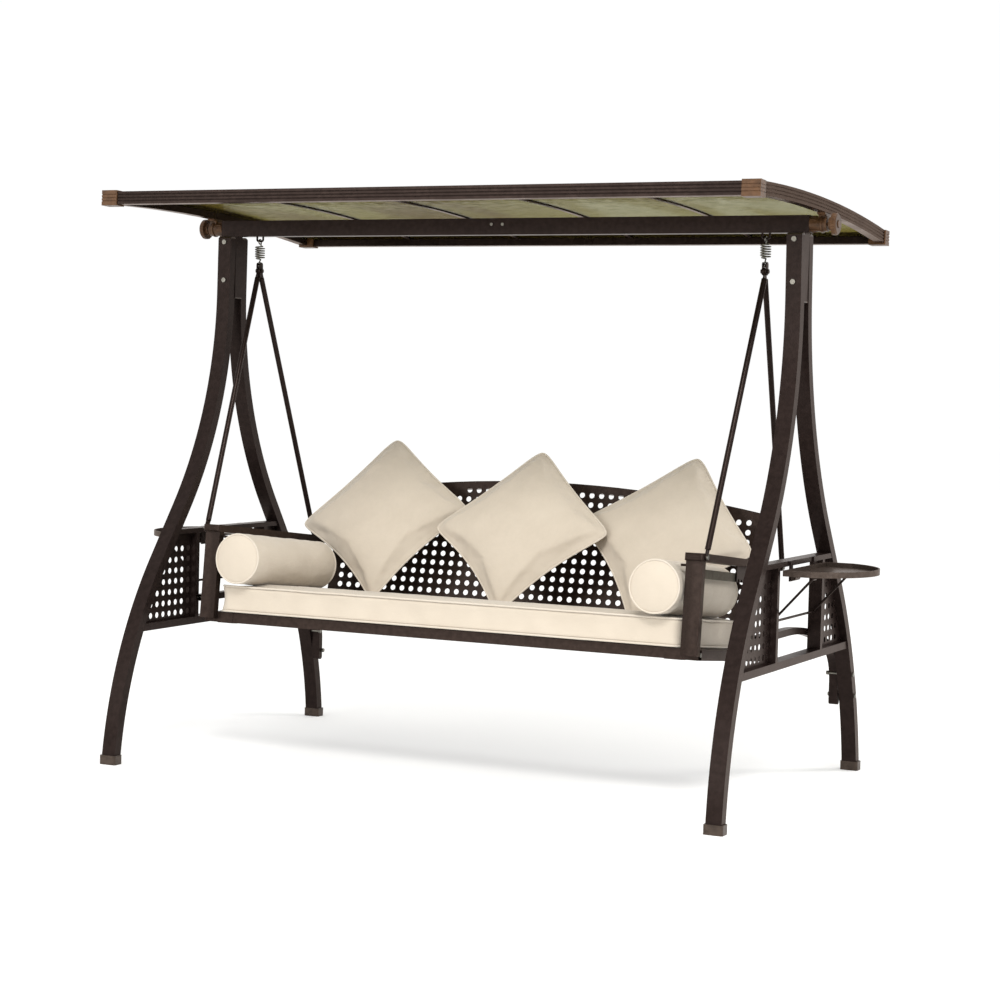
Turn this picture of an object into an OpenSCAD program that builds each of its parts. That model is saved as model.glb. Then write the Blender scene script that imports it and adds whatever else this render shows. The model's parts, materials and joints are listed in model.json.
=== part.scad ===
// Canopy swing bench: an A-frame stand with a tilting roof, and a sprung hanging seat
// with a reclining backrest and two folding side trays. Millimetres, +Z up, front is -Y.
// The origin is on the floor, in the middle of the stand.

/* [Stand] */
// Distance between the left and right feet, centre to centre
stand_w = 2100; // [2080:5:2120]
// Outer width of a leg tube, across the stand
leg_w = 50; // [48:1:52]
// Outer thickness of a leg tube, front to back
leg_t = 34; // [32:1:36]
// Wall of the leg tubes and the beam
tube_wall = 2; // [1.5:0.5:3]
// Steepest lean of a leg from the vertical, in degrees
leg_slope = 35.8; // [35:0.1:36.5]
// Lean of a leg where it meets the floor, in degrees
foot_slope = 5.6; // [4:0.2:7]
// Radius of the leg's upper bend
upper_bend_r = 1260; // [1240:10:1280]
// Radius of the leg's lower bend
lower_bend_r = 1320; // [1300:10:1340]
// Length of the straight stretch between the two bends
leg_straight = 221; // [210:1:230]
// Inward lean of each pair of legs, in degrees
side_lean = 0.62; // [0.5:0.02:0.7]
// Height of the underside of the top beam
beam_z = 1758; // [1755:1:1762]
// Height of the top beam's section
beam_h = 54; // [52:1:56]
// Depth of the top beam's section
beam_d = 42; // [40:1:44]

/* [Canopy] */
// Width of the roof over the side beams
roof_w = 2244; // [2240:2:2260]
// Depth of the roof, front beam to rear beam
roof_d = 1274; // [1240:2:1300]
// Rise of the side beams' arch
roof_rise = 26; // [24:1:30]
// Height of the roof beams' section
roof_beam_h = 41; // [38:1:44]
// Slope of the roof at rest, the rear edge lower, in degrees
roof_slope = 2.6; // [1:0.2:4]

/* [Seat] */
// Width of the seat ring over its side rails
seat_w = 1754; // [1750:2:1760]
// Depth of the seat ring
seat_d = 700; // [690:2:704]
// Backward tilt of the seat, in degrees
seat_tilt = 6; // [5.5:0.1:6.5]
// Height of the seat ring's front lower edge
seat_z = 458; // [450:1:465]
// Thickness of the seat cushion
cushion_t = 90; // [80:1:95]
// Height of the armrest's underside over the seat ring's underside
arm_z = 298; // [296:1:302]
// Height of the backrest in the middle, from its hinge
back_h = 501; // [490:1:510]
// Backward lean of the backrest against the seat's normal, in degrees
back_lean = 8; // [7:0.5:9]
// Side of a square pillow
pillow_side = 462; // [450:1:466]
// Diameter of a bolster
bolster_dia = 176; // [170:1:180]

/* [Side trays] */
// Radius of a tray's round edge
tray_r = 230; // [222:1:232]
// Height of the tray's hinge
tray_hinge_z = 702; // [700:1:704]

/* [Perforated sheet] */
// Spacing of the holes
hole_pitch = 36; // [34:1:40]
// Diameter of the holes
hole_dia = 19; // [16:1:21]
// Thickness of the sheet
sheet_t = 1.5; // [1.2:0.1:2]

/* [Hidden] */
$fn = 48;
SIDES = [-1, 1];

// Steps along a leg's or brace's bend, and fineness of the wide arches
bend_steps = 24;
arch_fn = 1440;

// Stand
foot_x = stand_w / 2;
leg_top_gap = beam_d / 2 + leg_t / 2;
cap_floor = 4;
cap_h = 30;
plug_h = 7;
lower_bend_drop = lower_bend_r * (sin(leg_slope) - sin(foot_slope));
lower_bend_x = lower_bend_r * (cos(foot_slope) - cos(leg_slope));
upper_bend_drop = upper_bend_r * sin(leg_slope);
upper_bend_x = upper_bend_r * (1 - cos(leg_slope));
straight_x = leg_straight * sin(leg_slope);
straight_drop = leg_straight * cos(leg_slope);
foot_end_z = cap_floor + leg_t / 2 * sin(foot_slope);
lower_bend_z = foot_end_z + lower_bend_drop;
upper_bend_z = lower_bend_z + straight_drop;
bend_top_z = upper_bend_z + upper_bend_drop;
leg_top_z = beam_z - 1 - plug_h;
foot_y = leg_top_gap + upper_bend_x + straight_x + lower_bend_x;
leg_inner_slope = tan(side_lean);

// Top beam
beam_len = 1066;
stub_x = 1031;
stub_low_z = 1548;
stub_bolt_z = [1606, 1737];
leg_bolt_r = 4;
eye_x = 921;
eye_wire_r = 3.5;
eye_bend_r = 7;
eye_flat = 5;
swing_z = beam_z - 16;

// Side frames
side_x = 1044;
side_w = 44;
rail_z = [425, 737];
rail_h = [24, 16];
post_y = [-200, 235];
post_d = 20;
post_wall = 1.5;
brace_x = 1004;
brace_w = 30;
brace_t = 22;
brace_z = 516;
brace_low_z = 225;
brace_bend_r = [1200, 137];
brace_bend_a = 22;
brace_start_y = -215;
brace_bend_y = 50;
brace_turn_y = brace_bend_y + (brace_bend_r[0] - brace_bend_r[1]) * sin(brace_bend_a);
brace_turn_z = brace_z - brace_bend_r[0] + (brace_bend_r[0] - brace_bend_r[1]) * cos(brace_bend_a);
brace_bolt_z = [258, 332];

// Canopy
tilt_z = beam_z + beam_h / 2;
stud_r = 5;
knob_x = [1126, 1156];
knob_r = 34;
arch_r = (pow(roof_d / 2, 2) + pow(roof_rise, 2)) / (2 * roof_rise);
arch_low = 33;
arch_z = arch_low - arch_r;
edge_low = arch_low - roof_rise;
roof_beam_w = 30;
sheet_r = arch_r + 22;
roof_sheet_t = 4;
rib_count = 4;
inner_w = roof_w - 2 * roof_beam_w;
rib_step = inner_w / (rib_count + 1);
corner_len = 57;
corner_grow = 4;

// Hanging gear
spring_r = 15;
wire_r = 2.5;
coil_z = [1680, 1726];
coil_turns = 8;
hook_r = 8;
shackle_z = 1660;
rod_top_z = 1640;
rod_r = 9;
tab_t = 4;
tab_w = 24;
rod_gap = 26;

// Seat, in its own tilted frame: y back from the ring's front, z up from its underside
seat_y = -370;
ring_w = 30;
ring_h = 33;
ring_x = seat_w / 2;
arm_in_x = 826;
arm_out_x = 886;
arm_t = 24;
arm_y = [-42, 712];
rod_bolt_y = [-15, 695];
rod_bolt_z = arm_z + arm_t / 2;
arm_post_x = 828;
arm_post_w = 54;
arm_post_d = 26;
cushion_x = 824;
cushion_y = [-18, 640];
cushion_z = ring_h + sheet_t + 0.5;
cushion_top = cushion_z + cushion_t;
bolster_y = [-50, 466];
bolster_x = arm_post_x - 0.5 - bolster_dia / 2;
latch_y = [380, 470];

// Backrest, in its own frame: hinge axis at the origin, z up along the backrest
back_y = 672;
back_z = 58;
back_x = 805;
back_tube = 25;
back_arch = 74;
back_arch_r = (pow(back_x, 2) + pow(back_arch, 2)) / (2 * back_arch);
hinge_r = 5;
bar_pivot = 206;
bar_x = 834;
bar_t = 6;
bar_h = 28;
pillow_t = 100;
pillow_edge = 24;
pillow_corner_r = 25;
left_pillow_at = [-537, 238, 792];
middle_pillow_at = [22, 170, 777];
right_pillow_at = [516, 244, 774];

// Side trays
tray_hinge_x = 1084;
tray_mid_y = 17.5;
tray_edge_x = 1075;
tray_half = 212;
tray_z = [tray_hinge_z + 10, tray_hinge_z + 28];
bracket_y = 115;
bail_x = 1041;
bail_z = 570;
bail_r = 4;
bail_arm_y = [-183, 218];
bail_top_z = tray_z[0] - bail_r - 1;
bail_reach = 124;

// ---- Shared shapes ----

// Everything is drawn on the right side and mirrored for the left one
module on_side(side) {
    mirror([side < 0 ? 1 : 0, 0, 0]) children();
}

// Box from a low corner to a high corner
module box(low, high) {
    translate(low) cube(high - low);
}

// Round bar along X, Y or Z
module bar_x(x0, x1, y, z, r) {
    translate([x0, y, z]) rotate([0, 90, 0]) cylinder(h = x1 - x0, r = r);
}

module bar_y(y0, y1, x, z, r) {
    translate([x, y0, z]) rotate([-90, 0, 0]) cylinder(h = y1 - y0, r = r);
}

// Round bar between two points
module bar_between(p, q, r, wall = 0) {
    d = q - p;
    turn = atan2(d[1], d[0]);
    drop = acos(d[2] / norm(d));
    translate(p) rotate([0, drop, turn]) difference() {
        cylinder(h = norm(d), r = r);
        if (wall > 0) translate([0, 0, -1]) cylinder(h = norm(d) + 2, r = r - wall);
    }
}

// Rectangular tube section, centred
module tube_section(w, h, wall) {
    difference() {
        square([w, h], center = true);
        square([w - 2 * wall, h - 2 * wall], center = true);
    }
}

// Rectangle with round corners, centred
module round_rect(w, h, r) {
    square([w - 2 * r, h], center = true);
    square([w, h - 2 * r], center = true);
    for (x = [-1, 1], y = [-1, 1])
        translate([x * (w / 2 - r), y * (h / 2 - r)]) circle(r = r);
}

// Turns a shape drawn in XY, with its thickness along Z, to stand front to back
module upright() {
    rotate([90, 0, 90]) children();
}

// Rectangular hollow tube between two corners, open along one axis (0 X, 1 Y, 2 Z)
module box_tube(low, high, axis, wall = post_wall) {
    grow = [for (i = [0:2]) i == axis ? -1 : wall];
    difference() {
        box(low, high);
        box(low + grow, high - grow);
    }
}

// Moves a right-hand shape into the leaning plane of the leg pair
module leaning() {
    translate([foot_x, 0, 0]) rotate([0, -side_lean, 0]) children();
}

module seat_frame() {
    translate([0, seat_y, seat_z]) rotate([-seat_tilt, 0, 0]) children();
}

module back_frame() {
    seat_frame() translate([0, back_y, back_z]) rotate([-back_lean, 0, 0]) children();
}

module roof_frame() {
    translate([0, 0, tilt_z]) rotate([-roof_slope, 0, 0]) children();
}

// ---- Stand ----

// Points of a bend: centre, radius and the angles it runs between
function bend_points(c, r, a0, a1) =
    [for (i = [0:bend_steps]) c + r * [cos(a0 + (a1 - a0) * i / bend_steps),
        sin(a0 + (a1 - a0) * i / bend_steps)]];

// One edge of the leg's side outline, at a distance outside its centre line
function leg_edge(out) = concat(
    bend_points([foot_y - lower_bend_r * cos(foot_slope), foot_end_z - lower_bend_r
        * sin(foot_slope)], lower_bend_r + out, foot_slope, leg_slope),
    bend_points([leg_top_gap + upper_bend_r, bend_top_z], upper_bend_r - out,
        180 + leg_slope, 180));

// Side outline between two distances from the centre line, run on past both ends
function leg_outline(out, over) = concat(
    [leg_foot(out, over)], leg_edge(out), [[leg_top_gap + out, leg_top_z + over]],
    [[leg_top_gap - out, leg_top_z + over]], reverse(leg_edge(-out)), [leg_foot(-out, over)]);
function leg_foot(out, over) = [foot_y - lower_bend_r * cos(foot_slope), foot_end_z
    - lower_bend_r * sin(foot_slope)] + (lower_bend_r + out) * [cos(foot_slope), sin(foot_slope)]
    + over * [sin(foot_slope), -cos(foot_slope)];
function reverse(list) = [for (i = [len(list) - 1 : -1 : 0]) list[i]];

// Slab with a side outline, centred across its width
module slab(points, w) {
    upright() translate([0, 0, -w / 2]) linear_extrude(w) polygon(points);
}

// Bent rectangular leg tube as a rear leg in the leaning plane
module leg_sweep(solid = false) {
    difference() {
        slab(leg_outline(leg_t / 2, 0.01), leg_w);
        if (!solid) slab(leg_outline(leg_t / 2 - tube_wall, 2), leg_w - 2 * tube_wall);
    }
}

// Bolt holes through the leg tops
module stub_bolt_holes() {
    for (z = stub_bolt_z) bar_y(-80, 80, stub_x, z, leg_bolt_r);
}

module brace_bolt_holes() {
    for (z = brace_bolt_z) bar_x(980, 1085, brace_bolt_y(z), z, leg_bolt_r);
    bar_x(980, 1030, post_y[0], brace_z, leg_bolt_r);
}

// Distance of the leg's centre line from the middle plane at a height on the lower bend
function low_leg_y(z) = foot_y - lower_bend_r * (cos(foot_slope)
    - cos(asin(sin(foot_slope) + (z - foot_end_z) / lower_bend_r)));
function mid_leg_y(z) = foot_y - lower_bend_x - (z - lower_bend_z) * tan(leg_slope);
function leg_y(z) = z < lower_bend_z ? low_leg_y(z) : mid_leg_y(z);
function brace_bolt_y(z) = leg_y(z) - 4;

module leg(side, rear) {
    on_side(side) difference() {
        mirror([0, rear ? 0 : 1, 0]) leaning() leg_sweep();
        stub_bolt_holes();
        if (rear) brace_bolt_holes();
    }
}

// Solid outline of both legs of the right side, to fit other pieces against
module leg_pair_outline() {
    for (m = [0, 1]) mirror([0, m, 0]) leaning() leg_sweep(true);
}

module foot_caps() {
    color("#3a2c26") for (side = SIDES) on_side(side) difference() {
        for (m = [-1, 1]) translate([foot_x, m * foot_y, 0])
            linear_extrude(cap_h) round_rect(61, 42, 6);
        for (m = [0, 1]) mirror([0, m, 0]) leaning() foot_socket();
    }
}

// Room for the leg in its cap, a little wide because the leg is bent
module foot_socket() {
    w = leg_w + 0.6;
    t = leg_t + 1;
    translate([0, foot_y, foot_end_z]) rotate([foot_slope, 0, 0])
        translate([-w / 2, -t / 2, -0.3]) cube([w, t, cap_h + 5]);
}

module frame_plugs() {
    dome_r = (pow(leg_t / 2, 2) + pow(plug_h, 2)) / (2 * plug_h);
    in_w = leg_w - 2 * tube_wall;
    in_t = leg_t - 2 * tube_wall;
    color("#2a201c") for (side = SIDES) on_side(side) {
        for (m = [0, 1]) mirror([0, m, 0]) leaning() translate([0, leg_top_gap, leg_top_z]) {
            intersection() {
                box([-leg_w / 2, -leg_t / 2, 0], [leg_w / 2, leg_t / 2, plug_h]);
                bar_x(-leg_w, leg_w, 0, plug_h - dome_r, dome_r);
            }
            box([-in_w / 2, -in_t / 2, -6], [in_w / 2, in_t / 2, 0]);
        }
        box([stub_x - 25, -beam_d / 2, stub_low_z - 4], [stub_x + 25, beam_d / 2, stub_low_z]);
    }
}

module beam_half(side) {
    color("#33261f") on_side(side) difference() {
        union() {
            box_tube([0, -beam_d / 2, beam_z], [beam_len, beam_d / 2, beam_z + beam_h], 0,
                tube_wall);
            box_tube([stub_x - 25, -beam_d / 2, stub_low_z], [stub_x + 25, beam_d / 2, beam_z], 2,
                tube_wall);
        }
        stub_bolt_holes();
        bar_y(-30, 0, 20, beam_z + 34, 2.5);
    }
}

module beam_sleeve() {
    wall = 2.5;
    low = beam_z + tube_wall;
    color("#5a534c") difference() {
        box_tube([-90, wall - beam_d / 2 - 0.5, low], [90, beam_d / 2 - tube_wall,
            beam_z + beam_h - tube_wall], 0, wall);
        for (side = SIDES) on_side(side) bar_y(-30, 0, 20, beam_z + 34, 2.5);
    }
}

module frame_bolts() {
    leg_face = beam_d / 2 + leg_t;
    color("#b8b6b0") for (side = SIDES) on_side(side) {
        for (z = stub_bolt_z) {
            bar_y(-leg_face, leg_face, stub_x, z, leg_bolt_r);
            bar_y(-leg_face - 4, -leg_face, stub_x, z, 8);
            bar_y(leg_face, leg_face + 6, stub_x, z, 7);
        }
        for (z = brace_bolt_z) {
            face = foot_x + leg_w / 2 - z * leg_inner_slope + 0.2;
            inner = brace_x - brace_w / 2;
            bar_x(inner, face, brace_bolt_y(z), z, leg_bolt_r);
            bar_x(face, face + 4, brace_bolt_y(z), z, 8);
            bar_x(inner - 8, inner, brace_bolt_y(z), z, 7);
        }
        bar_x(brace_x - brace_w / 2, 1028, post_y[0], brace_z, leg_bolt_r);
        bar_x(brace_x - brace_w / 2 - 5, brace_x - brace_w / 2, post_y[0], brace_z, 7);
        bar_x(brace_x + brace_w / 2, side_x - side_w / 2, post_y[0], brace_z, 9);
        bar_y(-beam_d / 2 - 2, -beam_d / 2, 20, beam_z + 34, 5);
        bar_y(-beam_d / 2, -beam_d / 2 + 4.5, 20, beam_z + 34, 2.5);
    }
}

// Rails and posts of one side, welded into a ladder that is coped to the legs
module side_frame(side) {
    x0 = side_x - side_w / 2;
    x1 = side_x + side_w / 2;
    color("#3d2f27") on_side(side) difference() {
        union() {
            for (i = [0, 1]) {
                reach = leg_y(rail_z[i]);
                box_tube([x0, -reach, rail_z[i]], [x1, reach, rail_z[i] + rail_h[i]], 1);
            }
            for (y = post_y) box_tube([x0, y - post_d / 2, rail_z[0] + rail_h[0]],
                [x1, y + post_d / 2, rail_z[1]], 2);
        }
        leg_pair_outline();
        brace_bolt_holes();
        bar_y(post_y[0], post_y[1], bail_x, bail_z, bail_r + 0.05);
    }
}

// Perforated infill between a leg and a post; near is 0 for the front one and 1 for the rear
module side_panel(near) {
    z0 = rail_z[0] + rail_h[0];
    z1 = rail_z[1];
    edge = near == 0 ? -post_y[0] + post_d / 2 : post_y[1] + post_d / 2;
    margin = hole_dia / 2 + leg_t / 2 / cos(leg_slope) + 6;
    mirror([0, near == 0 ? 1 : 0, 0]) difference() {
        translate([side_x - sheet_t / 2, 0, 0]) upright() linear_extrude(sheet_t) difference() {
            polygon(concat([[edge, z1], [edge, z0]],
                [for (i = [0:4]) [leg_y(z0 + i * (z1 - z0) / 4), z0 + i * (z1 - z0) / 4]]));
            for (z = [z0 + hole_pitch / 2 + 2 : hole_pitch : z1 - hole_pitch / 2])
                for (y = [edge + hole_pitch / 2 : hole_pitch : leg_y(z) - margin])
                    translate([y, z]) circle(d = hole_dia);
        }
        leg_pair_outline();
    }
}

module side_panels(side) {
    color("#41332b") on_side(side) for (near = [0, 1]) side_panel(near);
}

// Curved brace from the front post to the inner face of the rear leg
function brace_edge(out) = concat([[brace_start_y, brace_z + out]],
    bend_points([brace_bend_y, brace_z - brace_bend_r[0]], brace_bend_r[0] + out, 90,
        90 - brace_bend_a),
    bend_points([brace_turn_y, brace_turn_z], brace_bend_r[1] + out, 90 - brace_bend_a, 0));

function brace_outline(out, over) = let (drop = [0, brace_low_z + brace_t / 2 - over])
    concat(brace_edge(out) - [for (i = [0:2 * bend_steps + 2]) i == 0 ? [over, 0] : [0, 0]],
        [drop + [brace_turn_y + brace_bend_r[1] + out, 0],
        drop + [brace_turn_y + brace_bend_r[1] - out, 0]],
        reverse(brace_edge(-out) - [for (i = [0:2 * bend_steps + 2]) i == 0 ? [over, 0] : [0, 0]]));

module rear_brace() {
    half = brace_t / 2;
    translate([brace_x, 0, 0]) {
        difference() {
            slab(brace_outline(half, 0), brace_w);
            slab(brace_outline(half - 1.5, 1), brace_w - 3);
        }
        translate([-brace_w / 2, brace_turn_y + brace_bend_r[1], brace_low_z + half])
            upright() linear_extrude(brace_w) intersection() {
                circle(r = half);
                translate([-half, -half]) square([2 * half, half]);
            }
    }
}

module rear_braces() {
    color("#241b17") for (side = SIDES) on_side(side) difference() {
        rear_brace();
        brace_bolt_holes();
    }
}

// Copper-coloured hub on each beam end, with the stud that the roof tilts on
module tilt_hubs() {
    in_d = beam_d - 2 * tube_wall;
    in_h = beam_h - 2 * tube_wall;
    color("#6b4630") for (side = SIDES) on_side(side) translate([0, 0, tilt_z]) {
        bar_x(beam_len, 1092.6, 0, 0, 24);
        box([beam_len - 20, -in_d / 2, -in_h / 2], [beam_len, in_d / 2, in_h / 2]);
        bar_x(beam_len, 1150, 0, 0, stud_r);
        for (i = [0:11]) rotate([i * 30, 0, 0]) bar_x(beam_len + 4, 1086, 24, 0, 2);
    }
}

// Staple of round wire under the beam: two legs, two bends and a straight run that the
// spring's hook hangs on
module hook_eyes() {
    color("#2a201c") for (side = SIDES) on_side(side) translate([eye_x, 0, swing_z]) {
        bar_x(-eye_flat, eye_flat, 0, 0, eye_wire_r);
        for (m = [0, 1]) mirror([m, 0, 0]) {
            translate([eye_flat, 0, eye_bend_r]) rotate([90, 0, 0]) rotate(-90)
                rotate_extrude(angle = 90) translate([eye_bend_r, 0]) circle(r = eye_wire_r);
            translate([eye_flat + eye_bend_r, 0, eye_bend_r])
                cylinder(h = beam_z - swing_z - eye_bend_r, r = eye_wire_r);
        }
    }
}

// ---- Canopy ----

// Arched bar along the roof, reaching y each way, from a section with x outward from the arch
module arch_bar(r, y) {
    half = asin(y / r);
    translate([0, 0, arch_z]) upright() rotate(90 - half)
        rotate_extrude(angle = 2 * half, $fn = arch_fn) translate([r, 0]) children();
}

// Grooved hollow section of the roof beams, h high and w wide, outer face on the right
module grooved_section(h, w) {
    difference() {
        translate([0, 0]) square([h, w]);
        translate([2.5, 2.5]) square([h - 5, w - 7]);
        for (i = [1:3]) translate([i * h / 4, w]) circle(r = 2, $fn = 24);
    }
}

module roof_cross_beam(front) {
    y = roof_d / 2;
    mirror([0, front ? 1 : 0, 0]) translate([-roof_w / 2 + corner_len - 3, y - roof_beam_w, 0])
        rotate([90, 0, 90]) linear_extrude(roof_w - 2 * corner_len + 6)
            translate([0, edge_low]) mirror([1, -1, 0]) grooved_section(roof_beam_h, roof_beam_w);
}

module roof_side_beam(side) {
    on_side(side) difference() {
        translate([roof_w / 2 - roof_beam_w, 0, 0]) arch_bar(arch_r, roof_d / 2 - 25)
            grooved_section(roof_beam_h, roof_beam_w);
        corner_blocks();
    }
}

module corner_blocks() {
    x1 = roof_w / 2 + corner_grow;
    y1 = roof_d / 2 + corner_grow;
    for (m = [0, 1]) mirror([0, m, 0]) box([roof_w / 2 - corner_len + 3, roof_d / 2 - 39,
        edge_low - corner_grow], [x1, y1, edge_low + roof_beam_h + corner_grow]);
}

module canopy_corners() {
    x1 = roof_w / 2 + corner_grow;
    y1 = roof_d / 2 + corner_grow;
    color("#7a4d35") roof_frame() for (side = SIDES) on_side(side) difference() {
        corner_blocks();
        for (m = [-1, 1], i = [1:3]) {
            bar_x(roof_w / 2 - corner_len, x1 + 1, m * y1, edge_low + i * roof_beam_h / 4, 1.6);
            bar_y(-y1 - 1, y1 + 1, x1, edge_low + i * roof_beam_h / 4, 1.6);
        }
    }
}

// Joint strip between two sheets: a flange under them, a web and a flange over them
module rib_section() {
    gap = 0.15;
    translate([-gap - 2.5, -7]) square([2.5, 14]);
    translate([-gap - 1, -1.5]) square([roof_sheet_t + 2 * gap + 2, 3]);
    translate([roof_sheet_t + gap, -7]) square([2.5, 14]);
}

module canopy_ribs() {
    color("#3d2f27") roof_frame() for (i = [1:rib_count])
        translate([i * rib_step - inner_w / 2, 0, 0])
            arch_bar(sheet_r, roof_d / 2 - roof_beam_w - 0.5) rib_section();
}

module canopy_panels() {
    color("#8d8460", 0.8) roof_frame() for (i = [0:rib_count]) intersection() {
        x0 = i * rib_step - inner_w / 2 + (i == 0 ? 0 : 2);
        x1 = (i + 1) * rib_step - inner_w / 2 - (i == rib_count ? 0 : 2);
        translate([x0, 0, 0]) arch_bar(sheet_r, roof_d / 2 - roof_beam_w - 0.5)
            square([roof_sheet_t, x1 - x0]);
        roof_inside();
    }
}

// Room left by the corner connectors
module roof_inside() {
    difference() {
        box([-roof_w / 2, -roof_d / 2, -50], [roof_w / 2, roof_d / 2, 120]);
        for (side = SIDES) on_side(side) corner_blocks();
    }
}

module canopy_tilt_arms() {
    top = arch_low - 0.1;
    color("#7a4d35") for (side = SIDES) on_side(side) roof_frame() difference() {
        union() {
            bar_x(1093, 1120, 0, 0, 24);
            bar_x(1101, 1107, 0, 0, 27);
            box([1093, -16, 0], [1119, 16, top - 3]);
            box([1093, -30, top - 6], [1119, 30, top]);
        }
        bar_x(1090, 1125, 0, 0, stud_r + 0.05);
    }
}

// Round knob with a domed, dished face and a fluted edge, screwed on the stud
module tilt_knob(side) {
    len = knob_x[1] - knob_x[0];
    color("#6b4630") on_side(side) translate([knob_x[0], 0, tilt_z]) rotate([90, 0, 90])
        difference() {
            union() {
                cylinder(h = 12, r = 21);
                translate([0, 0, 10]) cylinder(h = len - 18, r = knob_r);
                translate([0, 0, len - 8]) cylinder(h = 5, r1 = knob_r, r2 = knob_r - 5);
                cylinder(h = len, r = 12);
            }
            for (i = [0:17]) rotate(i * 20) translate([knob_r + 1.5, 0, -1])
                cylinder(h = len, r = 3);
            translate([0, 0, -1]) cylinder(h = 1150.5 - knob_x[0] + 1, r = stud_r + 0.05);
        }
}

// ---- Hanging gear ----

// Closed coil of round wire with a ring hook at each end, hooked on the eye and the shackle
module spring(side) {
    step = (coil_z[1] - coil_z[0]) / (coil_turns - 1);
    top_ring = swing_z + eye_wire_r + wire_r + 0.1 - hook_r;
    low_ring = shackle_z - 3 - wire_r - 0.1 + hook_r;
    color("#a9a7a0") on_side(side) translate([eye_x, 0, 0]) {
        rotate_extrude() for (i = [0:coil_turns - 1])
            translate([spring_r, coil_z[0] + i * step]) circle(r = wire_r, $fn = 24);
        for (z = [top_ring, low_ring]) translate([0, 0, z]) rotate([0, 90, 0])
            rotate_extrude() translate([hook_r, 0]) circle(r = wire_r, $fn = 24);
        for (z = coil_z) bar_x(-spring_r, spring_r, 0, z, wire_r - 0.4);
        hook_stem(low_ring + hook_r, coil_z[0]);
        hook_stem(coil_z[1], top_ring - hook_r);
    }
}

module hook_stem(z0, z1) {
    translate([0, 0, z0]) cylinder(h = z1 - z0, r = wire_r - 0.2);
}

// Two cheek plates on a cross pin, bolted through the tops of the two rods
module rod_shackles() {
    inner = eye_x - tab_t;
    outer = eye_x + tab_t;
    color("#2a201c") for (side = SIDES) on_side(side) {
        for (x = [inner - 4, outer]) translate([x, 0, 0]) upright() linear_extrude(4)
            difference() {
                union() {
                    translate([0, rod_top_z]) circle(r = 12);
                    translate([0, shackle_z]) circle(r = 9);
                    translate([-9, rod_top_z]) square([18, shackle_z - rod_top_z]);
                }
                translate([0, rod_top_z]) circle(r = 4);
            }
        bar_x(inner - 4, outer + 4, 0, shackle_z, 3);
        bar_x(inner - 4, outer + 4, 0, rod_top_z, 4);
        bar_x(outer + 4, outer + 9, 0, rod_top_z, 7);
        bar_x(inner - 9, inner - 4, 0, rod_top_z, 7);
    }
}

// Seat-frame point of a rod's lower bolt, in stand coordinates
function seat_point(x, y, z) = [x, seat_y + y * cos(seat_tilt) + z * sin(seat_tilt),
    seat_z - y * sin(seat_tilt) + z * cos(seat_tilt)];

// Round tube with a flat eye at each end: i is 0 for the front rod and 1 for the rear one
module hanging_rod(i) {
    top_x = i == 0 ? eye_x : eye_x - tab_t;
    top = [top_x + tab_t / 2, 0, rod_top_z];
    low = seat_point(arm_out_x + tab_t / 2, rod_bolt_y[i], rod_bolt_z);
    run = low - top;
    turn = atan2(run[1], -run[2]);
    dir = [0, run[1], run[2]] / norm([run[1], run[2]]);
    difference() {
        union() {
            rod_tab(top, turn, rod_gap + 6);
            rod_tab(low, turn + 180, rod_gap + 6);
            bar_between(top + dir * rod_gap, low - dir * rod_gap, rod_r);
        }
        bar_between(top + dir * (rod_gap + 8), low - dir * (rod_gap + 8), rod_r - 1.5);
        bar_x(arm_out_x - 20, arm_out_x + 60, top[1], top[2], 4);
        bar_x(arm_out_x - 20, arm_out_x + 60, low[1], low[2], 4);
    }
}

// Flattened end of a rod round its bolt hole
module rod_tab(p, turn, len) {
    translate(p) rotate([turn, 0, 0]) translate([-tab_t / 2, 0, 0]) rotate([90, 0, 90])
        linear_extrude(tab_t) {
            circle(d = tab_w - 2);
            translate([-tab_w / 2 + 1, -len]) square([tab_w - 2, len]);
        }
}

module front_rods() {
    color("#33261f") for (side = SIDES) on_side(side) hanging_rod(0);
}

module rear_rods() {
    color("#33261f") for (side = SIDES) on_side(side) hanging_rod(1);
}

// ---- Seat ----

module seat_front_rail() {
    color("#4a372f") seat_frame() box_tube([-ring_x, 0, 0], [ring_x, ring_w, ring_h], 0);
}

// Rear rail with an ear at each end for the backrest's hinge pin
module seat_rear_rail() {
    color("#4a372f") seat_frame() {
        box_tube([-ring_x, seat_d - ring_w, 0], [ring_x, seat_d, ring_h], 0);
        for (side = SIDES) on_side(side) translate([back_x + 3, 0, 0]) upright()
            linear_extrude(6) difference() {
                union() {
                    translate([back_y, back_z]) circle(r = 12);
                    translate([back_y - 2, ring_h]) square([14, back_z - ring_h]);
                }
                translate([back_y, back_z]) circle(r = hinge_r + 0.05);
            }
    }
}

module seat_side_rails() {
    color("#4a372f") seat_frame() for (side = SIDES) on_side(side)
        box_tube([ring_x - ring_w, ring_w, 0], [ring_x, seat_d - ring_w, ring_h], 1);
}

// Corner plates folded round the front and underside of the front rail, beside the posts
module seat_sleeves() {
    color("#54403a") seat_frame() for (side = SIDES) on_side(side) difference() {
        box([768, -1.5, -1.5], [arm_post_x - 1, ring_w, ring_h]);
        box([767, 0, 0], [arm_post_x, ring_w + 1, ring_h + 1]);
    }
}

module seat_cross_bars() {
    color("#3d2f27") seat_frame() for (x = [-440, 0, 440])
        box_tube([x - 15, ring_w, 6], [x + 15, seat_d - ring_w, ring_h], 1);
}

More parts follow.
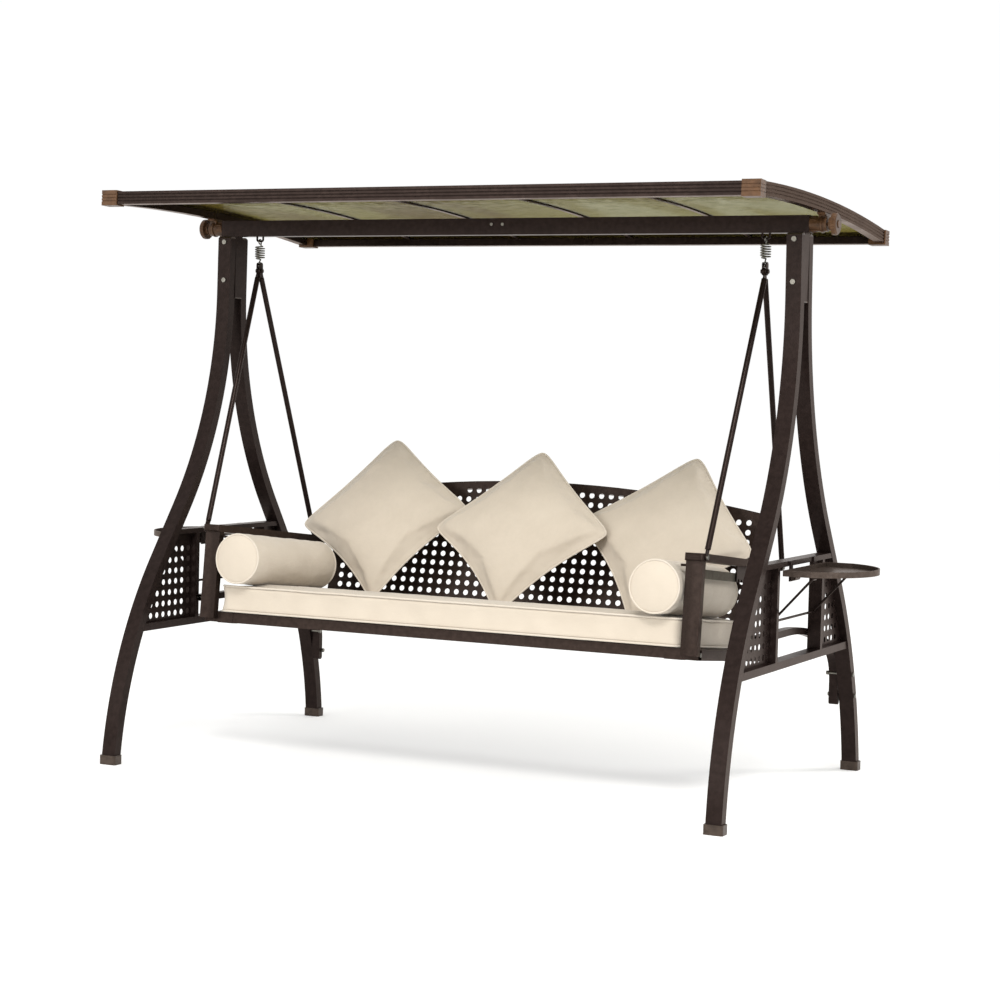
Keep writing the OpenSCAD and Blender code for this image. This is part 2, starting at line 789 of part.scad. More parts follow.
module seat_deck() {
    low = [-ring_x + 20, ring_w - 20];
    high = [ring_x - 20, seat_d - ring_w - 15];
    color("#41332b") seat_frame() translate([0, 0, ring_h]) linear_extrude(sheet_t) difference() {
        translate(low) square(high - low);
        for (x = [low[0] + 2 * hole_pitch : 2 * hole_pitch : high[0] - hole_pitch])
            for (y = [low[1] + 2 * hole_pitch : 2 * hole_pitch : high[1] - hole_pitch])
                translate([x, y]) circle(d = hole_dia);
    }
}

module front_arm_posts() {
    x1 = arm_post_x + arm_post_w;
    color("#4a372f") seat_frame() for (side = SIDES) on_side(side) difference() {
        union() {
            box_tube([arm_post_x, -arm_post_d, 12], [x1, 0, arm_z], 2);
            bar_x(806, arm_post_x, -8, arm_z - 14, 4);
        }
        bar_y(-arm_post_d / 2, 5, 858, ring_h / 2 + 4, 4);
    }
}

module rear_arm_posts() {
    color("#4a372f") seat_frame() for (side = SIDES) on_side(side)
        box_tube([848, seat_d - ring_w, ring_h], [ring_x, seat_d, arm_z], 2);
}

// Armrest board: round nose seen from the side, round corners seen from above
module armrest(side) {
    nose = arm_t / 2;
    w = arm_out_x - arm_in_x;
    len = arm_y[1] - arm_y[0];
    color("#4a372f") seat_frame() on_side(side) difference() {
        intersection() {
            union() {
                box([arm_in_x, arm_y[0] + nose, arm_z], [arm_out_x, arm_y[1], arm_z + arm_t]);
                bar_x(arm_in_x, arm_out_x, arm_y[0] + nose, arm_z + nose, nose);
            }
            translate([arm_in_x + w / 2, arm_y[0] + len / 2, arm_z - 1])
                linear_extrude(arm_t + 2) round_rect(w, len, 12);
        }
        for (y = rod_bolt_y) bar_x(arm_out_x - 20, arm_out_x + 5, y, rod_bolt_z, 4);
    }
}

// Notched plates under the armrests, beside the recline bars
module latch_plates() {
    color("#241b17") seat_frame() for (side = SIDES) on_side(side)
        translate([bar_x + bar_t + 2, 0, 0]) upright() linear_extrude(4) difference() {
            translate([latch_y[0], arm_z - 50]) square([latch_y[1] - latch_y[0], 50]);
            for (i = [0:2]) translate([latch_y[0] + 18 + i * 27, arm_z - 48]) circle(r = 8);
        }
}

module seat_bolts() {
    color("#b8b6b0") seat_frame() for (side = SIDES) on_side(side) {
        for (y = rod_bolt_y) {
            bar_x(arm_out_x - 20, arm_out_x + tab_t, y, rod_bolt_z, 4);
            bar_x(arm_out_x + tab_t, arm_out_x + tab_t + 5, y, rod_bolt_z, 7.5);
        }
        bar_x(ring_x, ring_x + 4, 14, ring_h / 2, 7);
    }
}

module seat_cushion() {
    w = 2 * cushion_x;
    d = cushion_y[1] - cushion_y[0];
    color("#e0d4c0") seat_frame() translate([0, cushion_y[0] + d / 2, cushion_z])
        linear_extrude(cushion_t) round_rect(w, d, 25);
}

module bolster(side) {
    color("#e0d4c0") seat_frame() on_side(side)
        bar_y(bolster_y[0], bolster_y[1], bolster_x, cushion_top + 0.4 + bolster_dia / 2,
            bolster_dia / 2);
}

// ---- Backrest ----

// Arched outline of the backrest, inset on every side
module back_outline(inset, low) {
    intersection() {
        translate([inset - back_x, low]) square([2 * (back_x - inset), back_h]);
        translate([0, back_h - back_arch_r]) circle(r = back_arch_r - inset, $fn = arch_fn);
    }
}

module back_band(grow) {
    difference() {
        union() {
            back_outline(-grow, 20 - grow);
            for (side = SIDES) translate([side * (back_x - back_tube / 2), 20])
                square([back_tube + 2 * grow, 64 + 2 * grow], center = true);
        }
        back_outline(back_tube + grow, 20 + back_tube + grow);
    }
}

module backrest_frame() {
    d = back_tube / 2;
    color("#33261f") back_frame() {
        rotate([90, 0, 0]) difference() {
            translate([0, 0, -d]) linear_extrude(back_tube) back_band(0);
            translate([0, 0, 2 - d]) linear_extrude(back_tube - 4) back_band(-2);
        }
        for (side = SIDES) on_side(side) {
            bar_x(back_x - 2, back_x + 12, 0, 0, hinge_r);
            bar_x(back_x - 2, bar_x + bar_t + 1.5, 0, bar_pivot, 4);
        }
    }
}

module backrest_panel() {
    edge = back_x - 5;
    front = back_tube / 2;
    bottom = 6;
    margin = 30;
    top_r = back_arch_r - 3;
    color("#4a3a33") back_frame() translate([0, -front, 0]) rotate([90, 0, 0])
        linear_extrude(sheet_t) difference() {
            intersection() {
                translate([-edge, bottom]) square([2 * edge, back_h]);
                translate([0, back_h - back_arch_r]) circle(r = top_r, $fn = 360);
            }
            for (x = [-21 * hole_pitch : hole_pitch : 21 * hole_pitch])
                for (z = [bottom + 24 : hole_pitch * 0.92 : arch_height(x) - margin])
                    translate([x, z]) circle(d = hole_dia);
        }
}

function arch_height(x) = back_h - back_arch_r + sqrt(pow(back_arch_r, 2) - x * x);

// Square pillow standing on a corner and leaning back, thinner towards its edges
module pillow(middle, lean, spin) {
    translate(middle)
        rotate([-lean, 0, 0]) rotate([90, 45 + spin, 0]) intersection() {
            translate([0, 0, -pillow_t]) linear_extrude(2 * pillow_t)
                round_rect(pillow_side, pillow_side, pillow_corner_r);
            pillow_lens();
            rotate(90) pillow_lens();
        }
}

// A pillow whose lowest corner is pressed flat on the seat cushion
module resting_pillow(middle, lean, spin) {
    color("#e0d4c0") difference() {
        pillow(middle, lean, spin);
        seat_frame() box([-ring_x, 0, cushion_z], [ring_x, seat_d, cushion_top + 0.3]);
    }
}

// Bar of lens section along Y: pillow_t thick in the middle and pillow_edge at the sides
module pillow_lens() {
    half = pillow_side / 2;
    sag = (pillow_t - pillow_edge) / 2;
    r = (pow(half, 2) + pow(sag, 2)) / (2 * sag);
    rotate([90, 0, 0]) linear_extrude(2 * half + 2, center = true) intersection() {
        translate([0, r - pillow_t / 2]) circle(r = r, $fn = 360);
        translate([0, pillow_t / 2 - r]) circle(r = r, $fn = 360);
        square([2 * half + 2, pillow_t + 2], center = true);
    }
}

// Flat bar that links the backrest to the latch under the armrest
module recline_bar(side) {
    py = back_y + bar_pivot * sin(back_lean);
    pz = back_z + bar_pivot * cos(back_lean);
    color("#6f6a60") seat_frame() on_side(side) translate([bar_x, 0, 0]) upright()
        linear_extrude(bar_t) difference() {
            union() {
                translate([60, pz - bar_h / 2]) square([py - 60, bar_h]);
                translate([py, pz]) circle(d = bar_h);
                translate([60, pz]) circle(d = bar_h);
            }
            translate([py, pz]) circle(r = 4.05);
        }
}

// ---- Side trays ----

// D-shaped outline, its straight edge on the hinge side
module tray_outline(r, half, edge) {
    intersection() {
        circle(r = r);
        translate([edge, -half]) square([r, 2 * half]);
    }
}

module tray(side) {
    rim = 4;
    h = tray_z[1] - tray_z[0];
    color("#6a4a38") on_side(side) {
        translate([tray_edge_x, tray_mid_y, tray_z[0]]) difference() {
            linear_extrude(h) tray_outline(tray_r, tray_half, 0);
            translate([0, 0, 4]) linear_extrude(h) tray_outline(tray_r - rim, tray_half - rim, rim);
        }
        for (m = [-1, 1]) translate([0, tray_mid_y + m * bracket_y, 0]) {
            for (e = [-1, 1]) tray_lug(e * 18 - 5, 10);
            bar_y(-23, 23, tray_hinge_x, tray_hinge_z, 4);
        }
    }
}

module tray_lug(y, w) {
    bar_y(y, y + w, tray_hinge_x, tray_hinge_z, 8);
    box([tray_hinge_x - 8, y, tray_hinge_z], [tray_hinge_x + 8, y + w, tray_z[0]]);
}

// Hinge brackets screwed to the outer face of the top rail
module tray_brackets() {
    face = side_x + side_w / 2;
    color("#2a201c") for (side = SIDES, m = [-1, 1]) on_side(side)
        translate([0, tray_mid_y + m * bracket_y, 0]) difference() {
            union() {
                box([face, -12.5, 690], [face + 5, 12.5, rail_z[1] + rail_h[1]]);
                box([face, -12.5, 694], [tray_hinge_x, 12.5, 710]);
                bar_y(-12.5, 12.5, tray_hinge_x, tray_hinge_z, 8);
            }
            bar_y(-13, 13, tray_hinge_x, tray_hinge_z, 4.05);
        }
}

// Wire bail: a cross rod that turns in the posts, and two arms that carry the tray
module tray_bail(side) {
    arm_r = bail_r - 0.2;
    knuckle_r = bail_r + 0.7;
    color("#1f1815") on_side(side) {
        bar_y(post_y[0] + 2, post_y[1] - 2, bail_x, bail_z, bail_r);
        for (i = [0, 1]) {
            y = bail_arm_y[i];
            end = y + 30 * (1 - 2 * i);
            top = [bail_x + bail_reach, y, bail_top_z];
            bar_between([bail_x, y, bail_z], top, arm_r);
            translate(top) sphere(r = knuckle_r);
            translate([bail_x, y, bail_z]) sphere(r = knuckle_r);
            bar_y(min(y, end), max(y, end), top[0], top[2], bail_r);
        }
    }
}

color("#3a3034") leg(-1, false);  // left_front_leg
color("#3a3034") leg(-1, true);  // left_rear_leg
color("#3a3034") leg(1, false);  // right_front_leg
color("#3a3034") leg(1, true);  // right_rear_leg
foot_caps();
frame_plugs();
beam_half(-1);  // left_beam
beam_half(1);  // right_beam
beam_sleeve();
frame_bolts();
side_frame(-1);  // left_side_frame
side_frame(1);  // right_side_frame
side_panels(-1);  // left_side_panels
side_panels(1);  // right_side_panels
rear_braces();
tilt_hubs();
hook_eyes();
tray_brackets();
color("#4a3a33") roof_frame() roof_cross_beam(true);  // canopy_front_beam
color("#4a3a33") roof_frame() roof_cross_beam(false);  // canopy_rear_beam
color("#4a4038") roof_frame() roof_side_beam(-1);  // canopy_left_beam
color("#4a4038") roof_frame() roof_side_beam(1);  // canopy_right_beam
canopy_corners();
canopy_ribs();
canopy_panels();
canopy_tilt_arms();
tilt_knob(-1);  // left_tilt_knob
tilt_knob(1);  // right_tilt_knob
spring(-1);  // left_spring
spring(1);  // right_spring
rod_shackles();
front_rods();
rear_rods();
seat_front_rail();
seat_rear_rail();
seat_side_rails();
seat_sleeves();
seat_cross_bars();
seat_deck();
front_arm_posts();
rear_arm_posts();
armrest(-1);  // left_armrest
armrest(1);  // right_armrest
latch_plates();
seat_bolts();
seat_cushion();
bolster(-1);  // left_bolster
bolster(1);  // right_bolster
backrest_frame();
backrest_panel();
resting_pillow(left_pillow_at, 31, -8);  // left_pillow
resting_pillow(middle_pillow_at, 34, -1);  // middle_pillow
resting_pillow(right_pillow_at, 33, 8);  // right_pillow
recline_bar(-1);  // left_recline_bar
recline_bar(1);  // right_recline_bar
tray(-1);  // left_tray
tray(1);  // right_tray
tray_bail(-1);  // left_tray_bail
tray_bail(1);  // right_tray_bail
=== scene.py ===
"""Looks of the canopy swing bench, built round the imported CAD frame."""
import json
import math

import bpy
import numpy as np
from mathutils import Matrix, Vector, noise


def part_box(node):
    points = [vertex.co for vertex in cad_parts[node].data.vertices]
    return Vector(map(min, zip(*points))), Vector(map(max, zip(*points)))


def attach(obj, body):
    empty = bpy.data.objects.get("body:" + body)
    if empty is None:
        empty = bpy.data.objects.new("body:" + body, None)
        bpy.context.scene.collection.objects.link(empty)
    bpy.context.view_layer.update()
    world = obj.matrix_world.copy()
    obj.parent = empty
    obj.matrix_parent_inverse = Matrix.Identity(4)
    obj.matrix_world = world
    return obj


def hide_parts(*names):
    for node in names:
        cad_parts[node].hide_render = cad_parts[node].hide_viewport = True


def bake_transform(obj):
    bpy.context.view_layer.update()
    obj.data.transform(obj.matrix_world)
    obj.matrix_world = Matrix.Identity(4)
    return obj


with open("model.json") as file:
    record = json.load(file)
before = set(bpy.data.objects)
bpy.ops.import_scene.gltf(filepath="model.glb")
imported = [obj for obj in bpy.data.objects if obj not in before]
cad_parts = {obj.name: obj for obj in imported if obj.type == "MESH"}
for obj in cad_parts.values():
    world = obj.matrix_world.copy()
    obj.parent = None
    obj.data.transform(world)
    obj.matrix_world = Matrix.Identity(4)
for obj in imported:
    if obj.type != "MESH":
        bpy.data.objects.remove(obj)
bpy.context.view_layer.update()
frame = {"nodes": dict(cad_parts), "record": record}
NODES = frame["nodes"]

# ---- Camera: the photograph's viewpoint in the part's frame ----
CAM_AZIMUTH, CAM_ELEVATION, CAM_ROLL = 25.902, 3.018, 1.412
CAM_PLACE = (3.269, -6.679, 1.280)
CAM_LENS = 81.19

# ---- How the soft pieces stand: the same angles, in degrees, as in part.scad ----
SEAT_TURN = Matrix.Rotation(math.radians(-6.0), 4, "X")
# Lean back and spin of each pillow
PILLOWS = {"left_pillow": (31, -8), "middle_pillow": (34, -1), "right_pillow": (33, 8)}

# ---- Sewing: metres, or shares of a pillow's side ----
PIPING_RADIUS = 0.0032
CUSHION_PIPING_RADIUS = 0.0034
CUSHION_CORNER_RADIUS = 0.03
PILLOW_STEPS = 56
PILLOW_CROWN = 0.046
# A pillow's panels are cut larger than its solid, and its tips are drawn in
PILLOW_CUT, PILLOW_EAR = 1.05, 0.075
# How far a pillow's upper and lower sides pull in between the corners
PULL_TOP, PULL_BOTTOM = 0.055, 0.135

# ---- Springs ----
SPRING_TURNS = 6
SPRING_WIRE = 0.0023
SPRING_HOOK_R = 0.008
# Lengths of the spring below and above its coil
SPRING_LOWER_END, SPRING_UPPER_END = 0.028, 0.0246

# ---- Worn edges: pointiness at which the wear starts and is full ----
WEAR_START, WEAR_FULL = 0.515, 0.56

# ---- Colours (linear) ----
BRONZE = (0.0070, 0.0044, 0.0037)
BRONZE_LIGHT = (0.0142, 0.0093, 0.0083)
SEAT_BRONZE = (0.0125, 0.0082, 0.0066)
SEAT_BRONZE_LIGHT = (0.024, 0.0165, 0.0138)
ROOF_BRONZE = (0.0085, 0.0054, 0.0044)
ROOF_BRONZE_LIGHT = (0.0175, 0.0118, 0.0100)
COPPER = (0.0250, 0.0115, 0.0050)
COPPER_LIGHT = (0.050, 0.0245, 0.0112)
DARK = (0.0135, 0.0098, 0.0078)
BAR_GREY = (0.050, 0.048, 0.039)
STEEL = (0.20, 0.19, 0.165)
# Roof sheet: its own tint, plus a darker colour that is painted shade and a paler one that is
# painted reflection
ROOF_PAINTED_SHADE = (0.115, 0.080, 0.013)
ROOF_TINT = (0.195, 0.170, 0.045)
ROOF_PAINTED_REFLECTION = (0.27, 0.255, 0.125)
CREAM = (0.500, 0.440, 0.360)
CREAM_DARK = (0.450, 0.392, 0.318)
PIPING = (0.52, 0.47, 0.40)
TRAY_BROWN = (0.029, 0.0215, 0.0172)
TRAY_BROWN_LIGHT = (0.055, 0.042, 0.035)


# ---- Materials ----

def scaled(colour, factor):
    """A colour made lighter or darker, not beyond white."""
    return tuple(min(1, c * factor) for c in colour)


def new_material(name):
    """A fresh node material: returns it with its tree and shader."""
    mat = bpy.data.materials.new(name)
    mat.use_nodes = True
    tree = mat.node_tree
    return mat, tree, tree.nodes["Principled BSDF"]


def add(tree, kind, **values):
    """A node with attributes or inputs set by name."""
    node = tree.nodes.new(kind)
    for key, value in values.items():
        if hasattr(node, key):
            setattr(node, key, value)
        else:
            node.inputs[key.replace("_", " ")].default_value = value
    return node


def ramp(tree, source, low, high, dark, light):
    """Colour ramp from dark to light between two positions of a source socket."""
    node = add(tree, "ShaderNodeValToRGB")
    stops = node.color_ramp.elements
    stops[0].position, stops[1].position = low, high
    stops[0].color, stops[1].color = (*dark, 1), (*light, 1)
    tree.links.new(source, node.inputs["Fac"])
    return node.outputs["Color"]


def spread(tree, source, low, high, out_low, out_high):
    """Maps a socket's range to another range."""
    node = add(tree, "ShaderNodeMapRange")
    for key, value in zip(("From Min", "From Max", "To Min", "To Max"),
                          (low, high, out_low, out_high)):
        node.inputs[key].default_value = value
    tree.links.new(source, node.inputs["Value"])
    return node.outputs["Result"]


def place(tree, stretch=(1, 1, 1)):
    """Object coordinates, metres along a piece's own axes, times a factor for each axis."""
    coords = add(tree, "ShaderNodeTexCoord")
    scale = add(tree, "ShaderNodeMapping")
    scale.inputs["Scale"].default_value = stretch
    tree.links.new(coords.outputs["Object"], scale.inputs["Vector"])
    return scale.outputs["Vector"]


def texture(tree, kind, vector, **values):
    """A texture node fed with a vector."""
    node = add(tree, kind, **values)
    tree.links.new(vector, node.inputs["Vector"])
    return node


def bump(tree, shader, heights):
    """Chains (socket, strength, depth in metres) into the shader's normal."""
    normal = None
    for source, strength, depth in heights:
        node = add(tree, "ShaderNodeBump")
        node.inputs["Strength"].default_value = strength
        node.inputs["Distance"].default_value = depth
        tree.links.new(source, node.inputs["Height"])
        if normal:
            tree.links.new(normal, node.inputs["Normal"])
        normal = node.outputs["Normal"]
    tree.links.new(normal, shader.inputs["Normal"])


def worn_edges(tree, colour, light):
    """Lightens a colour along convex edges, broken up with noise."""
    shape = add(tree, "ShaderNodeNewGeometry")
    edge = spread(tree, shape.outputs["Pointiness"], WEAR_START, WEAR_FULL, 0.0, 1.0)
    patches = texture(tree, "ShaderNodeTexNoise", place(tree), Scale=60.0, Detail=4.0)
    broken = spread(tree, patches.outputs["Fac"], 0.35, 0.65, 0.25, 0.9)
    amount = add(tree, "ShaderNodeMath", operation="MULTIPLY")
    tree.links.new(edge, amount.inputs[0])
    tree.links.new(broken, amount.inputs[1])
    mix = add(tree, "ShaderNodeMix", data_type="RGBA")
    tree.links.new(amount.outputs[0], mix.inputs["Factor"])
    tree.links.new(colour, mix.inputs["A"])
    mix.inputs["B"].default_value = (*light, 1)
    return mix.outputs["Result"]


def hammered_paint(name, dark, light, metallic=0.3, rough=(0.31, 0.37), depth=0.0004):
    """Powder coat with a dimpled, slightly sparkling surface, worn lighter on the edges."""
    mat, tree, shader = new_material(name)
    where = place(tree)
    dimples = texture(tree, "ShaderNodeTexVoronoi", where, Scale=230.0, feature="SMOOTH_F1")
    drift = texture(tree, "ShaderNodeTexNoise", where, Scale=9.0, Detail=5.0)
    flecks = texture(tree, "ShaderNodeTexNoise", where, Scale=900.0, Detail=2.0)
    tone = add(tree, "ShaderNodeMath", operation="MULTIPLY_ADD")
    tree.links.new(dimples.outputs["Distance"], tone.inputs[0])
    tone.inputs[1].default_value = 0.7
    tree.links.new(spread(tree, drift.outputs["Fac"], 0.3, 0.7, 0.15, 0.25), tone.inputs[2])
    colour = ramp(tree, tone.outputs[0], 0.1, 0.95, dark, light)
    colour = worn_edges(tree, colour, scaled(light, 1.35))
    tree.links.new(colour, shader.inputs["Base Color"])
    shader.inputs["Metallic"].default_value = metallic
    shader.inputs["Specular IOR Level"].default_value = 0.11
    shader.inputs["Specular Tint"].default_value = (0.78, 0.60, 0.50, 1)
    shader.inputs["Coat Weight"].default_value = 0.03
    shader.inputs["Coat Roughness"].default_value = 0.15
    tree.links.new(spread(tree, drift.outputs["Fac"], 0.3, 0.7, *rough),
                   shader.inputs["Roughness"])
    bump(tree, shader, [(dimples.outputs["Distance"], 0.55, depth),
                        (flecks.outputs["Fac"], 0.15, 0.0002)])
    return mat


def moulded_plastic(name, dark, light):
    """Moulded plastic with a fine grain, faint flow marks and scuffed edges."""
    mat, tree, shader = new_material(name)
    where = place(tree)
    flow = texture(tree, "ShaderNodeTexNoise", where, Scale=14.0, Detail=6.0, Distortion=1.5)
    grain = texture(tree, "ShaderNodeTexNoise", where, Scale=1400.0, Detail=1.0)
    scuffs = texture(tree, "ShaderNodeTexNoise", place(tree, (1, 9, 1)), Scale=40.0, Detail=8.0)
    colour = ramp(tree, flow.outputs["Fac"], 0.3, 0.72, dark, light)
    colour = worn_edges(tree, colour, scaled(light, 1.7))
    tree.links.new(colour, shader.inputs["Base Color"])
    shader.inputs["Specular IOR Level"].default_value = 0.3
    shader.inputs["Specular Tint"].default_value = (0.85, 0.70, 0.60, 1)
    shader.inputs["Coat Weight"].default_value = 0.04
    shader.inputs["Coat Roughness"].default_value = 0.25
    tree.links.new(spread(tree, scuffs.outputs["Fac"], 0.35, 0.7, 0.34, 0.5),
                   shader.inputs["Roughness"])
    bump(tree, shader, [(grain.outputs["Fac"], 0.2, 0.0002), (scuffs.outputs["Fac"], 0.08, 0.0003)])
    return mat


def plated_steel(name, tint):
    """Zinc plated steel: streaked roughness and cloudy tint."""
    mat, tree, shader = new_material(name)
    clouds = texture(tree, "ShaderNodeTexNoise", place(tree), Scale=55.0, Detail=5.0)
    streaks = texture(tree, "ShaderNodeTexNoise", place(tree, (1, 1, 12)), Scale=160.0, Detail=3.0)
    tree.links.new(ramp(tree, clouds.outputs["Fac"], 0.3, 0.7, scaled(tint, 0.72), tint),
                   shader.inputs["Base Color"])
    shader.inputs["Metallic"].default_value = 1.0
    tree.links.new(spread(tree, streaks.outputs["Fac"], 0.3, 0.7, 0.22, 0.45),
                   shader.inputs["Roughness"])
    bump(tree, shader, [(streaks.outputs["Fac"], 0.12, 0.0002)])
    return mat


def roof_plastic(name, dark, light, pale):
    """Translucent bronze sheet: its tint clouded with painted shade and painted reflection, fine
    extrusion ribs and rain dust.
    """
    mat, tree, shader = new_material(name)
    ribs = texture(tree, "ShaderNodeTexWave", place(tree), Scale=26.0, Distortion=0.05)
    clouds = texture(tree, "ShaderNodeTexNoise", place(tree, (1.8, 0.5, 1)), Scale=1.5, Detail=2.0,
                     Distortion=0.4)
    dust = texture(tree, "ShaderNodeTexNoise", place(tree), Scale=30.0, Detail=6.0)
    # Large clouds of painted shade (dark end) and painted reflection (pale end) around the sheet's
    # own tint
    tint = ramp(tree, clouds.outputs["Fac"], 0.36, 0.52, dark, light)
    for position, colour in ((0.60, light), (0.68, pale)):
        tint.node.color_ramp.elements.new(position).color = (*colour, 1)
    tree.links.new(tint, shader.inputs["Base Color"])
    shader.inputs["Transmission Weight"].default_value = 0.96
    shader.inputs["IOR"].default_value = 1.02
    shader.inputs["Specular IOR Level"].default_value = 0.05
    tree.links.new(spread(tree, dust.outputs["Fac"], 0.35, 0.7, 0.08, 0.2),
                   shader.inputs["Roughness"])
    bump(tree, shader, [(ribs.outputs["Fac"], 0.06, 0.0004)])
    return mat


def woven_fabric(name, dark, light, thread=0.0016):
    """Plain weave cloth: crossing threads, slubs, soft mottling and lint."""
    mat, tree, shader = new_material(name)
    where = place(tree)
    scale = math.pi / 10 / thread
    warp = texture(tree, "ShaderNodeTexWave", where, Scale=scale, Distortion=0.6,
                   bands_direction="X")
    weft = texture(tree, "ShaderNodeTexWave", place(tree, (0, 1, 1)), Scale=scale * 2,
                   Distortion=0.6, bands_direction="DIAGONAL")
    weave = add(tree, "ShaderNodeMath", operation="MULTIPLY")
    tree.links.new(warp.outputs["Fac"], weave.inputs[0])
    tree.links.new(weft.outputs["Fac"], weave.inputs[1])
    slubs = texture(tree, "ShaderNodeTexNoise", place(tree, (1, 1, 14)), Scale=60.0, Detail=4.0)
    mottle = texture(tree, "ShaderNodeTexNoise", where, Scale=9.0, Detail=7.0)
    lint = texture(tree, "ShaderNodeTexNoise", where, Scale=420.0, Detail=3.0)
    tone = add(tree, "ShaderNodeMath", operation="ADD")
    tree.links.new(mottle.outputs["Fac"], tone.inputs[0])
    tree.links.new(spread(tree, slubs.outputs["Fac"], 0.3, 0.7, -0.10, 0.10), tone.inputs[1])
    threads = add(tree, "ShaderNodeMath", operation="MULTIPLY_ADD")
    tree.links.new(weave.outputs[0], threads.inputs[0])
    threads.inputs[1].default_value = 0.25
    tree.links.new(tone.outputs[0], threads.inputs[2])
    tree.links.new(ramp(tree, threads.outputs[0], 0.3, 0.85, dark, light),
                   shader.inputs["Base Color"])
    tree.links.new(spread(tree, slubs.outputs["Fac"], 0.3, 0.7, 0.82, 0.97),
                   shader.inputs["Roughness"])
    shader.inputs["Sheen Weight"].default_value = 0.2
    shader.inputs["Sheen Roughness"].default_value = 0.5
    bump(tree, shader, [(weave.outputs[0], 0.5, 0.00025), (slubs.outputs["Fac"], 0.25, 0.0003),
                        (lint.outputs["Fac"], 0.12, 0.0003), (mottle.outputs["Fac"], 0.25, 0.003)])
    return mat


MATERIALS = {
    "bronze_coat": hammered_paint("bronze_coat", BRONZE, BRONZE_LIGHT),
    "seat_coat": hammered_paint("seat_coat", SEAT_BRONZE, SEAT_BRONZE_LIGHT, metallic=0.45),
    "roof_coat": hammered_paint("roof_coat", ROOF_BRONZE, ROOF_BRONZE_LIGHT, metallic=0.6,
                                rough=(0.22, 0.36), depth=0.0002),
    "dark_plastic": moulded_plastic("dark_plastic", DARK, scaled(DARK, 2.5)),
    "copper_plastic": moulded_plastic("copper_plastic", COPPER, COPPER_LIGHT),
    "steel": plated_steel("steel", STEEL),
    "bar_steel": hammered_paint("bar_steel", BAR_GREY, scaled(BAR_GREY, 1.6), metallic=0.5,
                                rough=(0.4, 0.55), depth=0.0002),
    "roof_sheet": roof_plastic("roof_sheet", ROOF_PAINTED_SHADE, ROOF_TINT, ROOF_PAINTED_REFLECTION),
    "tray_coat": hammered_paint("tray_coat", TRAY_BROWN, TRAY_BROWN_LIGHT, metallic=0.35,
                                rough=(0.34, 0.5), depth=0.0002),
    "cushion_fabric": woven_fabric("cushion_fabric", CREAM_DARK, CREAM),
}
# The backrest gets the seat's paint, lighter than the stand's. This is partly the seat's own colour
# and partly painted light that lifts the backrest out of the shade it sits in
BACK_COAT_LIGHTENED_FOR_SHADE = hammered_paint("back_coat_lightened_for_shade", SEAT_BRONZE, SEAT_BRONZE_LIGHT)
PIPING_CLOTH = woven_fabric("piping_cloth", CREAM, PIPING, thread=0.0012)


# ---- CAD nodes: materials, rounded edges ----

# Edge width in metres for the nodes with this word in their name; the first match counts
EDGE_RADIUS = {"leg": 0.0055, "beam": 0.003, "frame": 0.0025, "rail": 0.003, "post": 0.003,
               "armrest": 0.004, "sleeve": 0.002, "cap": 0.003, "corner": 0.003, "hub": 0.0015,
               "knob": 0.003, "tray": 0.002, "bar": 0.002, "brace": 0.003, "bolts": 0.001,
               "plate": 0.0008, "arms": 0.002}


def round_edges(obj, width):
    """Small bevel on the sharp edges, with normals that keep flat faces flat."""
    bevel = obj.modifiers.new("edge", "BEVEL")
    bevel.width = width
    bevel.segments = 2
    bevel.limit_method = "ANGLE"
    bevel.angle_limit = math.radians(40)
    obj.modifiers.new("normals", "WEIGHTED_NORMAL").keep_sharp = True


def dress_frame():
    """Gives every CAD node its paint and its rounded edges."""
    slots = {s["node"]: s["material_slot"] for s in frame["record"]["subparts"]}
    for name, obj in NODES.items():
        obj.data.materials.clear()
        # Backrest nodes take the seat's paint, made lighter as painted light against their shade
        obj.data.materials.append(BACK_COAT_LIGHTENED_FOR_SHADE if "backrest" in name else MATERIALS[slots[name]])
        for word, width in EDGE_RADIUS.items():
            if word in name and "panel" not in name:
                round_edges(obj, width)
                break


# ---- Mesh helpers ----

def points_of(obj):
    """A mesh's points as an array."""
    return np.array([v.co for v in obj.data.vertices])


def set_points(obj, co):
    """Moves a mesh's points to the places in an array."""
    obj.data.vertices.foreach_set("co", co.astype(np.float32).ravel())
    obj.data.update()


def mesh_object(name, points, faces, material, smooth=True):
    """A mesh object in the scene, from points and faces."""
    mesh = bpy.data.meshes.new(name)
    mesh.from_pydata([tuple(p) for p in points], [], [tuple(f) for f in faces])
    mesh.materials.append(material)
    for poly in mesh.polygons:
        poly.use_smooth = smooth
    mesh.update()
    obj = bpy.data.objects.new(name, mesh)
    bpy.context.scene.collection.objects.link(obj)
    return obj


def lattice_shell(counts):
    """Unit box surface on a lattice: points in -1..1, outward quads, points by lattice place."""
    index, points, faces = {}, [], []

    def at(key):
        if key not in index:
            index[key] = len(points)
            points.append([2 * k / n - 1 for k, n in zip(key, counts)])
        return index[key]

    for axis in range(3):
        u, v = (axis + 1) % 3, (axis + 2) % 3
        for side in (0, counts[axis]):
            for i in range(counts[u]):
                for j in range(counts[v]):
                    corners = []
                    for di, dj in ((0, 0), (1, 0), (1, 1), (0, 1)):
                        key = [0, 0, 0]
                        key[axis], key[u], key[v] = side, i + di, j + dj
                        corners.append(at(tuple(key)))
                    faces.append(corners if side else corners[::-1])
    return np.array(points), faces, index


